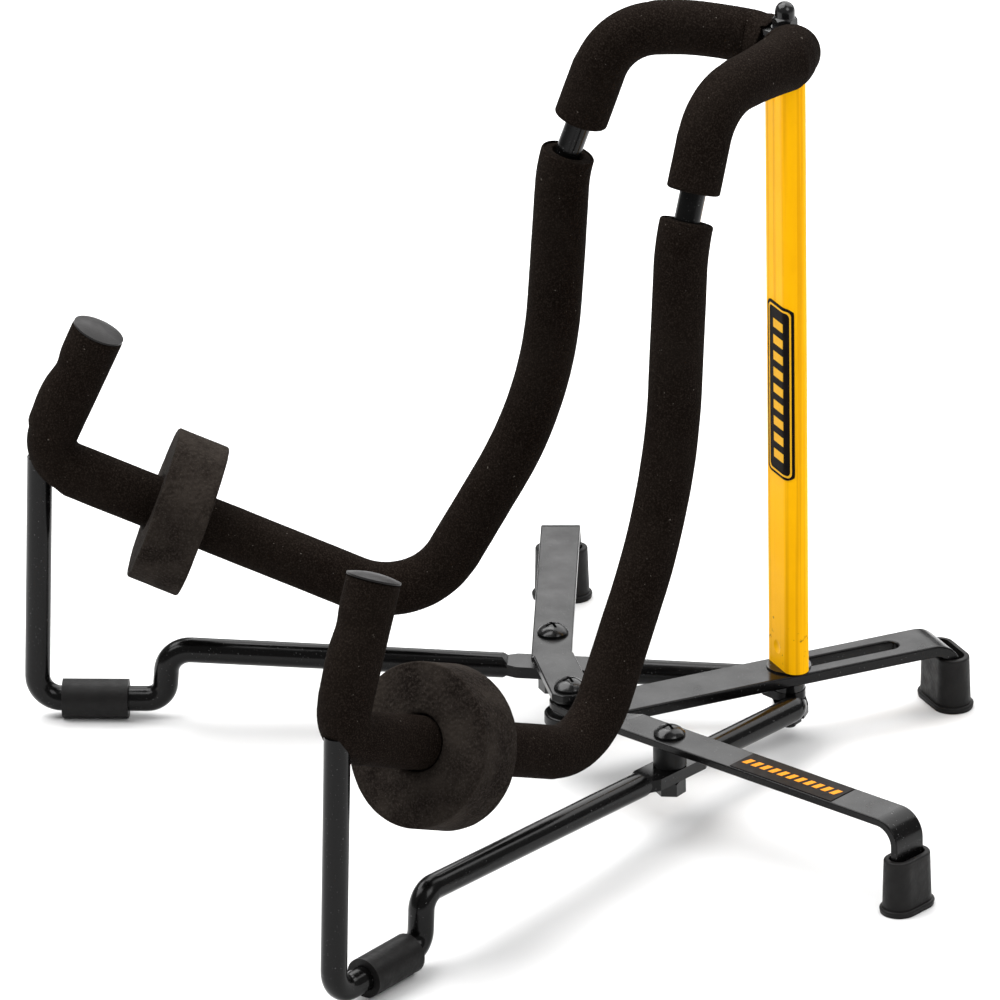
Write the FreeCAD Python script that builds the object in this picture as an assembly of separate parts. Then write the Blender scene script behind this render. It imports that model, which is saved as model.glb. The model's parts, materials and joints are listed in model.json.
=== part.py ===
"""Folding floor stand for a stringed instrument, shown empty and open.

Frame: millimetres, +Z up, the floor at Z = 0, the instrument's side towards -Y, the rear
leg towards +Y and the right gate towards +X.  The origin is under the middle of the
stand's bounding box.

Two bent-rod gates hinge on one upright post.  Each gate is drawn in its own plane first:
u runs forward from the post's axis, w runs outward from the gate's hinge plane, z runs
up.  It is then turned about the post to its open angle, and the left one is mirrored.
"""
import FreeCAD, Part
import math
import os

V = FreeCAD.Vector
os.makedirs("parts", exist_ok=True)

# ---------------------------------------------------------------- driving dimensions
OPEN_ANGLE = 27.44            # each gate's angle from the middle plane when open
GATE_OFFSET = 11.25           # from a gate's rod plane to the post's axis
ROD_R = 4.75                  # 3/8 inch steel rod
FOAM_R = 10.0                 # foam sleeves on the rods
FOAM_BORE_R = ROD_R + 0.1
RUNNING_GAP = 0.06            # radial gap of a shaft in a hole that turns on it
LAYER_GAP = 0.2               # between flat pieces that slide over each other

# upright post: flat-oval tube
POST_HALF_FLAT = 6.0
POST_R = 4.75
POST_WALL = 1.0
POST_BOTTOM = 28.1
POST_TOP = 263.0
INSERT_LENGTH = 15.0
STUD_R = 2.5                  # M5
STUD_NUT_FLATS = 8.0
TOP_OF_STAND = 290.0
DIMPLE_R = 8.0
DIMPLE_DEPTH = 0.45
DIMPLE_FROM_END = 8.0

# badge stuck on the post's front
BADGE_LOW = 106.0
BADGE_HIGH = 174.0
BADGE_LEFT = -5.5
BADGE_RIGHT = 10.6
BADGE_BACK = -2.1
BADGE_THICKNESS = 0.3
BADGE_CORNER_R = 2.5

# flattened rod ends, one above the other on the post's two studs
LUG_R = 6.25
LUG_THICKNESS = 3.5
LUG_REACH = 13.0
TOP_LUGS = {"right": 272.3, "left": 276.0}       # underside of each lug
LOW_LUGS = {"right": 11.4, "left": 15.1}

# gate paths as (u, z) corners with their bend radii
HINGE_RUN_U = 11.5            # where a rod turns from the hinge towards its own plane
HINGE_BEND_R = 8.0
ARM_TOP_Z = 274.3
ARM_CORNERS = {
    "right": [(58.5, 274.0, 22.0), (77.8, 222.0, 60.0), (85.6, 131.0, 170.0),
              (137.2, 45.5, 25.0), (278.0, 105.3, 9.0)],
    "left": [(62.5, 274.3, 22.0), (81.3, 222.0, 60.0), (88.0, 131.0, 170.0),
             (137.2, 44.7, 29.0), (276.6, 105.3, 9.0)],
}
ARM_TIP = {"right": (256.0, 157.2), "left": (253.4, 155.4)}
SLEEVE_R = 7.35
BASE_START_Z = 16.9
BASE_CORNERS = {
    "right": [(233.0, 27.8, 7.0), (234.5, SLEEVE_R, 7.0), (283.6, SLEEVE_R, 9.0)],
    "left": [(231.3, 27.72, 9.0), (233.2, SLEEVE_R, 7.0), (280.8, SLEEVE_R, 9.0)],
}
FOAM_ELBOW_R = 12.0

# foam sleeves, measured along the arm from the hinge
UPPER_FOAM_START = {"right": 12.9, "left": 13.4}
UPPER_FOAM_END = {"right": 93.3, "left": 99.5}
LOWER_FOAM_START = {"right": 104.0, "left": 113.0}
CAP_HEAD = 2.2
CAP_RIM = 0.7
CAP_HEAD_R = 9.8
CAP_SKIRT = 8.0
CAP_SKIRT_R = 6.0
FLOOR_SLEEVE = {"right": (241.2, 266.7), "left": (246.5, 271.2)}

# stop discs on the cradles
DISC_R = 29.0
DISC_THICKNESS = 20.0
DISC_BORE_R = FOAM_R + 0.3
DISC_U = {"right": 224.5, "left": 226.0}
DISC_EDGE_R = 1.5

# side legs
LEG_PIVOT_U = 87.8            # pivot of a side leg on its gate's base rod
LEG_WIDTH = 15.0
LEG_THICKNESS = 3.0
LEG_BOTTOM = 32.2
LEG_ANGLE = {"right": 23.8, "left": 26.4}       # outward run's angle from straight sideways
LEG_RUN = {"right": 111.8, "left": 112.0}       # from the pivot to the middle of the foot
LEG_DROP = {"right": 0.0, "left": 2.9}          # the left leg slopes down past its pivot
DROP_START = 12.0              # where that slope begins, from the pivot
DROP_BEND_R = 60.0
CREASE_FROM_PIVOT = 19.0
LEG_BEND_R = 8.0
LEG_END_Z = 6.0
INNER_STEP = {"right": -3.0, "left": 1.6}
STEP_RUN = {"right": 10.0, "left": 3.0}
SLOT_HALF_WIDTH = 4.3
SLOT_DRIFT = 4.6              # room for the middle screw along the leg
SLOT_OUTER_ROOM = 0.3
END_REACH = 7.5                # from the middle screw to the leg's cornered end
END_CORNER = 3.5
LEG_EDGE_R = 0.5
MITRE_SPARE = 5.0
STEP_START = 0.8
DECAL_FROM_PIVOT = (34.5, 82.0)
DECAL_MARGIN = 0.8
DECAL_THICKNESS = 0.25

# flattened part of the base rod under a side leg
FLAT_HALF_LENGTH = 17.0
FLAT_HALF_WIDTH = 6.25
FLAT_HALF_THICKNESS = 2.25
SHOULDER = 3.5

# rear leg: slotted bar under the post
BAR_WIDTH = 19.0
BAR_BOTTOM = 22.9
BAR_TOP = 27.4
MIDDLE_PIVOT_Y = -89.3        # the screw that joins the side legs to the bar
SLOT_START_Y = -0.4
SLOT_END_Y = 41.3
BAR_EDGE_R = 0.8
BAR_SLOT_R = 3.5
REAR_FOOT_Y = 64.9
REAR_BEND_R = 9.0

# screws and feet
SCREW_R = 3.0                 # M6
HEAD_R = 5.8
HEAD_HEIGHT = 3.6
HEAD_RIM = 0.7
SPACER_R = 6.1
NUT_FLATS = 10.0
NUT_HEIGHT = 6.0
FOOT_HEIGHT = 21.0
FOOT_FLANGE = 2.4
FOOT_POCKET_FLOOR = 5.0
FOOT_MOUTH_FLOOR = 12.0
FOOT_WALL = 1.9
FOOT_EDGE_R = 0.8
SIDE_FOOT = {"length": 20.0, "depth": 11.0}
REAR_FOOT = {"length": 24.5, "depth": 12.5}
FOOT_SPREAD = 0.5             # the foot's growth from top to bottom, each way
FLANGE_LIP = 1.25

Z_AXIS = V(0, 0, 1)
PARTS = {}


# ---------------------------------------------------------------- small helpers
def gate_point(u, w, z):
    """A point of a gate's own plane, before the gate is turned open."""
    return V(w, -u, z)


def turned_open(shape):
    """The shape turned about the post from the middle plane to the right gate's place."""
    copy = shape.copy()
    copy.rotate(V(0, 0, 0), Z_AXIS, OPEN_ANGLE)
    return copy


def placed(shape, side):
    """The right-hand shape itself, or its mirror image on the left."""
    return shape if side == "right" else shape.mirror(V(0, 0, 0), V(1, 0, 0))


def tube(radius, bore, low, high, centre=V(0, 0, 0)):
    """A vertical cylinder from low to high, with a bore through it if bore is not 0."""
    at = V(centre.x, centre.y, low)
    body = Part.makeCylinder(radius, high - low, at)
    if bore:
        body = body.cut(Part.makeCylinder(bore, high - low, at))
    return body


def hexagon_nut(flats, bore, low, high, centre=V(0, 0, 0)):
    """A hexagon nut with its top corners turned off."""
    corner_r = flats / math.sqrt(3)
    corners = [V(centre.x + corner_r * math.cos(math.radians(60 * k)),
                 centre.y + corner_r * math.sin(math.radians(60 * k)), low) for k in range(7)]
    body = Part.Face(Part.makePolygon(corners)).extrude(V(0, 0, high - low))
    chamfer = 0.12 * flats
    cone_high = high - low
    cone = Part.makeCone(corner_r + cone_high - chamfer, corner_r - chamfer, cone_high,
                         V(centre.x, centre.y, low))
    body = body.common(cone)
    if bore:
        body = body.cut(tube(bore, 0, low, high, centre))
    return body


def flat_oval(half_flat, radius, low, high):
    """An upright bar whose section is two half circles joined by flats along X."""
    middle = Part.makeBox(2 * half_flat, 2 * radius, high - low, V(-half_flat, -radius, low))
    ends = [tube(radius, 0, low, high, V(sign * half_flat, 0, 0)) for sign in (-1, 1)]
    return middle.fuse(ends).removeSplitter()


def prism(outline, origin, along, up, half_width):
    """A prism over an outline of (along, up) points, as wide as 2 x half_width."""
    across = along.cross(up)
    corners = [origin + along * a + up * b - across * half_width for a, b in outline]
    face = Part.Face(Part.makePolygon(corners + corners[:1]))
    return face.extrude(across * (2 * half_width))


def rounded_path(corners, radii):
    """Edges of straight runs joined by tangent arcs; radii are for the inner corners."""
    edges = []
    start = corners[0]
    for before, corner, after, radius in zip(corners, corners[1:], corners[2:], radii):
        back = (before - corner).normalize()
        ahead = (after - corner).normalize()
        half = back.getAngle(ahead) / 2
        reach = radius / math.tan(half)
        middle = (back + ahead).normalize()
        arc_start = corner + back * reach
        arc_end = corner + ahead * reach
        arc_middle = corner + middle * (radius / math.sin(half) - radius)
        edges.append(Part.LineSegment(start, arc_start).toShape())
        edges.append(Part.Arc(arc_start, arc_middle, arc_end).toShape())
        start = arc_end
    edges.append(Part.LineSegment(start, corners[-1]).toShape())
    return edges


def part_of_path(edges, start, end):
    """The stretch of a path between two lengths along it."""
    stretch = []
    passed = 0.0
    for edge in edges:
        first = max(start - passed, 0.0)
        last = min(end - passed, edge.Length)
        if last - first > 1e-6:
            low = edge.getParameterByLength(first)
            high = edge.getParameterByLength(last)
            stretch.append(edge.Curve.toShape(low, high))
        passed += edge.Length
    return stretch


def path_length(edges):
    return sum(edge.Length for edge in edges)


def point_on_path(edges, distance):
    """The point at a length along a path, and the path's direction there."""
    for edge in edges:
        if distance <= edge.Length:
            parameter = edge.getParameterByLength(distance)
            return edge.valueAt(parameter), edge.tangentAt(parameter)
        distance -= edge.Length
    last = edges[-1]
    return last.valueAt(last.LastParameter), last.tangentAt(last.LastParameter)


def round_bar(edges, radius):
    """A round bar along a path."""
    start, direction = point_on_path(edges, 0.0)
    circle = Part.Wire([Part.Circle(start, direction, radius).toShape()])
    return Part.Wire(edges).makePipeShell([circle], True, False)


def flat_bar(edges, width, thickness):
    """A flat bar along a path that stays in one upright plane."""
    start, along = point_on_path(edges, 0.0)
    across = Z_AXIS.cross(along).normalize()
    up = along.cross(across)
    corners = [start + across * (a * width / 2) + up * (b * thickness / 2)
               for a, b in ((-1, -1), (1, -1), (1, 1), (-1, 1))]
    section = Part.makePolygon(corners + corners[:1])
    return Part.Wire(edges).makePipeShell([Part.Wire(section)], True, False)


def with_rounded_edges(bar, radius):
    """The bar with every edge rounded where its side faces meet its broad faces."""
    edges = [edge for edge in bar.Edges
             if edge.Length > 2 * radius and abs(dihedral(bar, edge) - 90) < 5]
    return bar.makeFillet(radius, edges)


def dihedral(shape, edge):
    """Angle in degrees between the two faces that meet at an edge."""
    faces = shape.ancestorsOfType(edge, Part.Face)
    if len(faces) != 2:
        return 0.0
    middle = edge.valueAt((edge.FirstParameter + edge.LastParameter) / 2)
    normals = [face.normalAt(*face.Surface.parameter(middle)) for face in faces]
    return math.degrees(normals[0].getAngle(normals[1]))


# ---------------------------------------------------------------- gates
def arm_corners(side):
    run_start = [gate_point(0, 0, ARM_TOP_Z), gate_point(HINGE_RUN_U, GATE_OFFSET, ARM_TOP_Z)]
    bends = [gate_point(u, GATE_OFFSET, z) for u, z, _ in ARM_CORNERS[side]]
    tip_u, tip_z = ARM_TIP[side]
    return run_start + bends + [gate_point(tip_u, GATE_OFFSET, tip_z)]


def arm_path(side):
    radii = [HINGE_BEND_R] + [radius for _, _, radius in ARM_CORNERS[side]]
    return rounded_path(arm_corners(side), radii)


def foam_path(side):
    """The arm's path with the wider elbow that thick foam takes."""
    radii = [HINGE_BEND_R] + [radius for _, _, radius in ARM_CORNERS[side]]
    radii[-1] = FOAM_ELBOW_R
    return rounded_path(arm_corners(side), radii)


def base_path(side):
    corners = [gate_point(0, 0, BASE_START_Z),
               gate_point(HINGE_RUN_U, GATE_OFFSET, BASE_START_Z + 0.5)]
    corners += [gate_point(u, GATE_OFFSET, z) for u, z, _ in BASE_CORNERS[side]]
    elbow_u, elbow_z, _ = ARM_CORNERS[side][-1]
    corners.append(gate_point(elbow_u, GATE_OFFSET, elbow_z))
    radii = [HINGE_BEND_R] + [radius for _, _, radius in BASE_CORNERS[side]]
    return rounded_path(corners, radii)


def with_hinge_lug(rod, rod_z, underside):
    """The rod with its end pressed flat and bored for the post's stud."""
    along = (gate_point(HINGE_RUN_U, GATE_OFFSET, 0) - gate_point(0, 0, 0)).normalize()
    top = underside + LUG_THICKNESS
    flat = LUG_REACH - SHOULDER - 1.0
    far_z = 40.0
    slope = 1.2
    above = [(-20, top), (flat, top), (flat + far_z * slope, top + far_z), (-20, top + far_z)]
    below = [(-20, underside), (flat, underside), (flat + far_z * slope, underside - far_z),
             (-20, underside - far_z)]
    origin = V(0, 0, 0)
    for outline in (above, below):
        rod = rod.cut(prism(outline, origin, along, Z_AXIS, 14.0))
    across = along.cross(Z_AXIS)
    wide = LUG_R
    narrow = ROD_R * 0.8
    outline = [(0, wide), (flat - 1, wide), (LUG_REACH, narrow), (LUG_REACH, -narrow),
               (flat - 1, -wide), (0, -wide)]
    corners = [along * a + across * b + V(0, 0, underside) for a, b in outline]
    plate = Part.Face(Part.makePolygon(corners + corners[:1])).extrude(V(0, 0, LUG_THICKNESS))
    plate = plate.fuse(tube(LUG_R, 0, underside, top))
    low = min(underside, rod_z - ROD_R)
    high = max(top, rod_z + ROD_R)
    bore = tube(STUD_R + RUNNING_GAP, 0, low - 1, high + 1)
    return rod.fuse(plate).cut(bore).removeSplitter()


def pressed_flat(rod, centre, along):
    """The rod with a flat leaf pressed into it where a side leg turns."""
    up = V(0, 0, 1) - along * along.z
    up.normalize()
    across = along.cross(up)
    deep = 20.0
    for sign in (-1, 1):
        level = sign * FLAT_HALF_THICKNESS
        outer = sign * (FLAT_HALF_THICKNESS + deep)
        length = FLAT_HALF_LENGTH
        outline = [(-length, level), (length, level), (length + deep, outer),
                   (-length - deep, outer)]
        rod = rod.cut(prism(outline, centre, along, up, 12.0))
    half = FLAT_HALF_LENGTH + SHOULDER * 0.4
    flare = FLAT_HALF_LENGTH - SHOULDER
    wide = FLAT_HALF_WIDTH
    narrow = ROD_R * 0.85
    outline = [(-half, narrow), (-flare, wide), (flare, wide), (half, narrow),
               (half, -narrow), (flare, -wide), (-flare, -wide), (-half, -narrow)]
    corners = [centre + along * a + across * b - up * FLAT_HALF_THICKNESS for a, b in outline]
    leaf = Part.Face(Part.makePolygon(corners + corners[:1]))
    leaf = leaf.extrude(up * (2 * FLAT_HALF_THICKNESS))
    hole = tube(SCREW_R + 0.02, 0, centre.z - 10, centre.z + 10, centre)
    return rod.fuse(leaf).cut(hole).removeSplitter()


def leg_pivot_in_gate():
    """Middle of the flat leaf, and the base rod's direction there."""
    edges = base_path("right")
    straight = edges[2]
    start = straight.valueAt(straight.FirstParameter)
    along = straight.tangentAt(straight.FirstParameter)
    distance = (LEG_PIVOT_U + start.y) / -along.y
    return start + along * distance, along


def arm_rod(side):
    return with_hinge_lug(round_bar(arm_path(side), ROD_R), ARM_TOP_Z, TOP_LUGS[side])


def base_rod(side, arm):
    rod = round_bar(base_path(side), ROD_R)
    rod = with_hinge_lug(rod, BASE_START_Z, LOW_LUGS[side])
    centre, along = leg_pivot_in_gate()
    return pressed_flat(rod, centre, along).cut(arm)


def biggest_solid(shape):
    return max(shape.Solids, key=lambda solid: solid.Volume)


def upper_foam(side):
    edges = part_of_path(foam_path(side), UPPER_FOAM_START[side], UPPER_FOAM_END[side])
    return biggest_solid(round_bar(edges, FOAM_R).cut(round_bar(arm_path(side), FOAM_BORE_R)))


def lower_foam(side, base):
    edges = foam_path(side)
    edges = part_of_path(edges, LOWER_FOAM_START[side], path_length(edges))
    foam = round_bar(edges, FOAM_R)
    foam = foam.cut(round_bar(arm_path(side), FOAM_BORE_R))
    riser = base_path(side)
    riser = part_of_path(riser, path_length(riser) - 40, path_length(riser))
    foam = foam.cut(round_bar(riser, FOAM_BORE_R))
    tip, direction = point_on_path(edges, path_length(edges))
    pocket = Part.makeCylinder(CAP_SKIRT_R + 0.1, CAP_SKIRT + 0.3,
                               tip - direction * (CAP_SKIRT + 0.3), direction)
    return biggest_solid(foam.cut(pocket).cut(base))


def tip_cap(side):
    """Push-on cap: a domed head with a skirt that grips the rod inside the foam."""
    path = arm_path(side)
    tip, direction = point_on_path(path, path_length(path))
    low = 0.05
    rim = low + CAP_RIM
    top = low + CAP_HEAD
    dome_r = (CAP_HEAD_R ** 2 + (top - rim) ** 2) / (2 * (top - rim))
    half = math.asin(CAP_HEAD_R / dome_r) / 2
    crown = V(dome_r * math.sin(half), 0, top - dome_r * (1 - math.cos(half)))
    inner = ROD_R + 0.02
    dome = Part.Arc(V(CAP_HEAD_R, 0, rim), crown, V(0, 0, top)).toShape()
    outline = [V(0, 0, top), V(0, 0, low), V(inner, 0, low), V(inner, 0, -CAP_SKIRT),
               V(CAP_SKIRT_R, 0, -CAP_SKIRT), V(CAP_SKIRT_R, 0, low), V(CAP_HEAD_R, 0, low),
               V(CAP_HEAD_R, 0, rim)]
    section = Part.Face(Part.Wire([dome] + Part.makePolygon(outline).Edges))
    cap = section.revolve(V(0, 0, 0), Z_AXIS, 360)
    cap.Placement = FreeCAD.Placement(tip, FreeCAD.Rotation(Z_AXIS, direction))
    return cap


def floor_sleeve(side):
    """Rubber sleeve on the bottom run of the base rod, which stands on the floor."""
    front, back = FLOOR_SLEEVE[side][1], FLOOR_SLEEVE[side][0]
    start = gate_point(back, GATE_OFFSET, SLEEVE_R)
    forward = V(0, -1, 0)
    sleeve = Part.makeCylinder(SLEEVE_R, front - back, start, forward)
    return sleeve.cut(Part.makeCylinder(ROD_R + 0.05, front - back, start, forward))


def stop_disc(side):
    """Sponge-rubber disc pushed on to the cradle's foam."""
    (low_u, low_z, _), (high_u, high_z, _) = ARM_CORNERS[side][-2:]
    rise = (high_z - low_z) / (high_u - low_u)
    centre = gate_point(DISC_U[side], GATE_OFFSET, low_z + rise * (DISC_U[side] - low_u))
    along = gate_point(1, 0, rise).normalize()
    start = centre - along * (DISC_THICKNESS / 2)
    disc = Part.makeCylinder(DISC_R, DISC_THICKNESS, start, along)
    disc = disc.makeFillet(DISC_EDGE_R, [e for e in disc.Edges if e.Closed])
    return disc.cut(Part.makeCylinder(DISC_BORE_R, DISC_THICKNESS, start, along))


def build_gate(side):
    arm = arm_rod(side)
    base = base_rod(side, arm)
    pieces = {
        "arm_rod": arm,
        "base_rod": base,
        "upper_foam": upper_foam(side),
        "lower_foam": lower_foam(side, base),
        "tip_cap": tip_cap(side),
        "floor_sleeve": floor_sleeve(side),
        "stop_disc": stop_disc(side),
    }
    for name, shape in pieces.items():
        PARTS[side + "_" + name] = placed(turned_open(shape), side)


# ---------------------------------------------------------------- post
def dimples(z):
    """Crimp dimples that hold a threaded insert, on the post's two flats."""
    depth_centre = POST_R + DIMPLE_R - DIMPLE_DEPTH
    return [Part.makeSphere(DIMPLE_R, V(0, sign * depth_centre, z)) for sign in (-1, 1)]


def post_tube():
    outer = flat_oval(POST_HALF_FLAT, POST_R, POST_BOTTOM, POST_TOP)
    inner = flat_oval(POST_HALF_FLAT, POST_R - POST_WALL, POST_BOTTOM, POST_TOP)
    body = outer.cut(inner)
    for z in (POST_BOTTOM + DIMPLE_FROM_END, POST_TOP - DIMPLE_FROM_END):
        for dimple in dimples(z):
            body = body.cut(dimple)
    return body


def insert(low, high):
    block = flat_oval(POST_HALF_FLAT - 0.2, POST_R - POST_WALL - 0.05, low, high)
    return block.cut(tube(STUD_R, 0, low, high))


def badge():
    """Plain sticker plate that follows the post round on to one of its rounded sides."""
    outer = flat_oval(POST_HALF_FLAT, POST_R + BADGE_THICKNESS, BADGE_LOW, BADGE_HIGH)
    shell = outer.cut(flat_oval(POST_HALF_FLAT, POST_R, BADGE_LOW, BADGE_HIGH))
    window = Part.makeBox(BADGE_RIGHT - BADGE_LEFT, 8.0, BADGE_HIGH - BADGE_LOW,
                          V(BADGE_LEFT, BADGE_BACK - 8.0, BADGE_LOW))
    upright = [e for e in window.Edges if abs(e.tangentAt(e.FirstParameter).y) > 0.99]
    return shell.common(window.makeFillet(BADGE_CORNER_R, upright))


def acorn_nut(low):
    hexagon_top = low + 3.8
    dome_r = 3.65
    neck = tube(dome_r, 0, low + 1.0, TOP_OF_STAND - dome_r)
    body = hexagon_nut(STUD_NUT_FLATS, 0, low, hexagon_top)
    body = body.fuse([neck, Part.makeSphere(dome_r, V(0, 0, TOP_OF_STAND - dome_r))])
    return body.cut(tube(STUD_R, 0, low, TOP_OF_STAND - dome_r)).removeSplitter()


def build_post():
    top_lug_top = TOP_LUGS["left"] + LUG_THICKNESS
    low_lug_top = LOW_LUGS["left"] + LUG_THICKNESS
    low_lug_bottom = LOW_LUGS["right"]
    nut_low = top_lug_top + 1.0
    washer_r = 5.0
    PARTS["post_tube"] = post_tube()
    PARTS["post_badge"] = badge()
    PARTS["top_insert"] = insert(POST_TOP - INSERT_LENGTH, POST_TOP)
    PARTS["bottom_insert"] = insert(POST_BOTTOM, POST_BOTTOM + INSERT_LENGTH)
    PARTS["top_stud"] = tube(STUD_R, 0, POST_TOP - INSERT_LENGTH, TOP_OF_STAND - 4.0)
    PARTS["top_spacer"] = tube(6.0, STUD_R + RUNNING_GAP, POST_TOP, TOP_LUGS["right"] - 0.05)
    PARTS["top_washer"] = tube(washer_r, STUD_R + RUNNING_GAP, top_lug_top + 0.1, nut_low)
    PARTS["acorn_nut"] = acorn_nut(nut_low)
    PARTS["bottom_stud"] = tube(STUD_R, 0, 3.2, POST_BOTTOM + INSERT_LENGTH)
    PARTS["post_washer"] = tube(8.25, STUD_R + RUNNING_GAP, BAR_TOP + 0.15, POST_BOTTOM)
    PARTS["hinge_bush"] = tube(6.0, STUD_R + RUNNING_GAP, low_lug_top + 0.1,
                               BAR_BOTTOM - LAYER_GAP)
    PARTS["hinge_washer"] = tube(washer_r, STUD_R + RUNNING_GAP, low_lug_bottom - 1.1,
                                 low_lug_bottom - 0.1)
    PARTS["hinge_nut"] = hexagon_nut(STUD_NUT_FLATS, STUD_R, low_lug_bottom - 6.6,
                                     low_lug_bottom - 1.1)


# ---------------------------------------------------------------- feet and screws
def oval_wire(length, depth, grown, z):
    """An outline of two half circles and two flats, grown outward, at a height."""
    radius = depth / 2 + grown
    half = (length - depth) / 2
    corners = [V(-half, -radius, z), V(half, -radius, z), V(half, radius, z),
               V(-half, radius, z)]
    right = Part.Arc(corners[1], V(half + radius, 0, z), corners[2])
    left = Part.Arc(corners[3], V(-half - radius, 0, z), corners[0])
    sides = [Part.LineSegment(corners[0], corners[1]), right,
             Part.LineSegment(corners[2], corners[3]), left]
    return Part.Wire([side.toShape() for side in sides])


def foot(length, depth, bar_width, bar_thickness):
    """Rubber boot at the origin: tapered, flared at the floor, with a pocket for the bar."""
    body = Part.makeLoft([oval_wire(length, depth, FOOT_SPREAD, FOOT_FLANGE),
                          oval_wire(length, depth, 0.0, FOOT_HEIGHT)], True)
    rim = [edge for edge in body.Edges if edge.BoundBox.ZMin > FOOT_HEIGHT - 0.1]
    body = body.makeFillet(FOOT_EDGE_R, rim)
    lip = FOOT_SPREAD + FLANGE_LIP
    flange = Part.makeLoft([oval_wire(length, depth, lip - 0.5, 0.0),
                            oval_wire(length, depth, lip, FOOT_FLANGE)], True)
    rim = [edge for edge in flange.Edges if edge.BoundBox.ZMin > FOOT_FLANGE - 0.1]
    flange = flange.makeFillet(FOOT_EDGE_R, rim)
    body = body.fuse(flange).removeSplitter()
    mouth = Part.Face(oval_wire(length, depth, -FOOT_WALL, FOOT_MOUTH_FLOOR))
    fit = 0.04
    pocket = Part.makeBox(bar_width + 2 * fit, bar_thickness + 2 * fit, FOOT_HEIGHT,
                          V(-bar_width / 2 - fit, -bar_thickness / 2 - fit, FOOT_POCKET_FLOOR))
    return body.cut(mouth.extrude(V(0, 0, FOOT_HEIGHT))).cut(pocket)


def pan_screw(centre, seat, low):
    """Cross-recessed pan-head screw: shank down from the seat, head above it."""
    rim = tube(HEAD_R, 0, seat, seat + HEAD_RIM, centre)
    dome = HEAD_HEIGHT - HEAD_RIM
    dome_r = (HEAD_R ** 2 + dome ** 2) / (2 * dome)
    ball = Part.makeSphere(dome_r, V(centre.x, centre.y, seat + HEAD_HEIGHT - dome_r))
    crown = ball.common(tube(HEAD_R, 0, seat + HEAD_RIM, seat + HEAD_HEIGHT + 1, centre))
    body = rim.fuse([crown, tube(SCREW_R, 0, low, seat, centre)]).removeSplitter()
    recess = 2.0
    slot_long = 5.6
    slot_wide = 1.1
    top = seat + HEAD_HEIGHT
    for long_x, long_y in ((slot_long, slot_wide), (slot_wide, slot_long)):
        corner = V(centre.x - long_x / 2, centre.y - long_y / 2, top - recess)
        body = body.cut(Part.makeBox(long_x, long_y, recess + 1, corner))
    return body


# ---------------------------------------------------------------- rear leg
def rear_bar():
    thickness = BAR_TOP - BAR_BOTTOM
    middle_z = (BAR_TOP + BAR_BOTTOM) / 2
    half = BAR_WIDTH / 2
    corners = [V(0, MIDDLE_PIVOT_Y, middle_z), V(0, REAR_FOOT_Y, middle_z),
               V(0, REAR_FOOT_Y, LEG_END_Z)]
    bar = flat_bar(rounded_path(corners, [REAR_BEND_R]), BAR_WIDTH, thickness)
    bar = bar.fuse(tube(half, 0, BAR_BOTTOM, BAR_TOP, V(0, MIDDLE_PIVOT_Y, 0))).removeSplitter()
    slot = Part.makeBox(2 * BAR_SLOT_R, SLOT_END_Y - SLOT_START_Y, thickness,
                        V(-BAR_SLOT_R, SLOT_START_Y, BAR_BOTTOM))
    for y in (SLOT_START_Y, SLOT_END_Y):
        slot = slot.fuse(tube(BAR_SLOT_R, 0, BAR_BOTTOM, BAR_TOP, V(0, y, 0)))
    bar = bar.cut(slot).removeSplitter()
    bar = with_rounded_edges(bar, BAR_EDGE_R)
    return bar.cut(tube(SCREW_R + 0.02, 0, BAR_BOTTOM, BAR_TOP, V(0, MIDDLE_PIVOT_Y, 0)))


def inner_bottom(side):
    """Underside of a side leg's inner end."""
    return LEG_BOTTOM + INNER_STEP[side]


def build_rear_leg():
    pivot = V(0, MIDDLE_PIVOT_Y, 0)
    right_low = inner_bottom("right")
    left_low = inner_bottom("left")
    seat = left_low + LEG_THICKNESS + 0.15
    lower_washer = tube(7.0, SCREW_R + 0.02, BAR_TOP, right_low - LAYER_GAP, pivot)
    upper_washer = tube(6.5, SCREW_R + 0.02, right_low + LEG_THICKNESS + LAYER_GAP,
                        left_low - LAYER_GAP, pivot)
    boot = foot(REAR_FOOT["length"], REAR_FOOT["depth"], BAR_WIDTH, BAR_TOP - BAR_BOTTOM)
    boot.translate(V(0, REAR_FOOT_Y, 0))
    bar = rear_bar()
    PARTS["rear_bar"] = bar
    PARTS["rear_foot"] = boot.cut(bar)
    PARTS["middle_screw"] = pan_screw(pivot, seat, BAR_BOTTOM - NUT_HEIGHT - 0.8)
    PARTS["middle_washers"] = Part.makeCompound([lower_washer, upper_washer])
    PARTS["middle_nut"] = hexagon_nut(NUT_FLATS, SCREW_R, BAR_BOTTOM - NUT_HEIGHT, BAR_BOTTOM,
                                      pivot)


# ---------------------------------------------------------------- side legs
def leg_pivot():
    """The right side leg's pivot on the open stand."""
    centre, _ = leg_pivot_in_gate()
    vertex = turned_open(Part.Vertex(centre))
    return V(vertex.X, vertex.Y, vertex.Z)


def leg_outward(side):
    """Direction of a side leg's outer run, drawn on the right side."""
    angle = math.radians(LEG_ANGLE[side])
    return V(math.cos(angle), math.sin(angle), 0)


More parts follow.
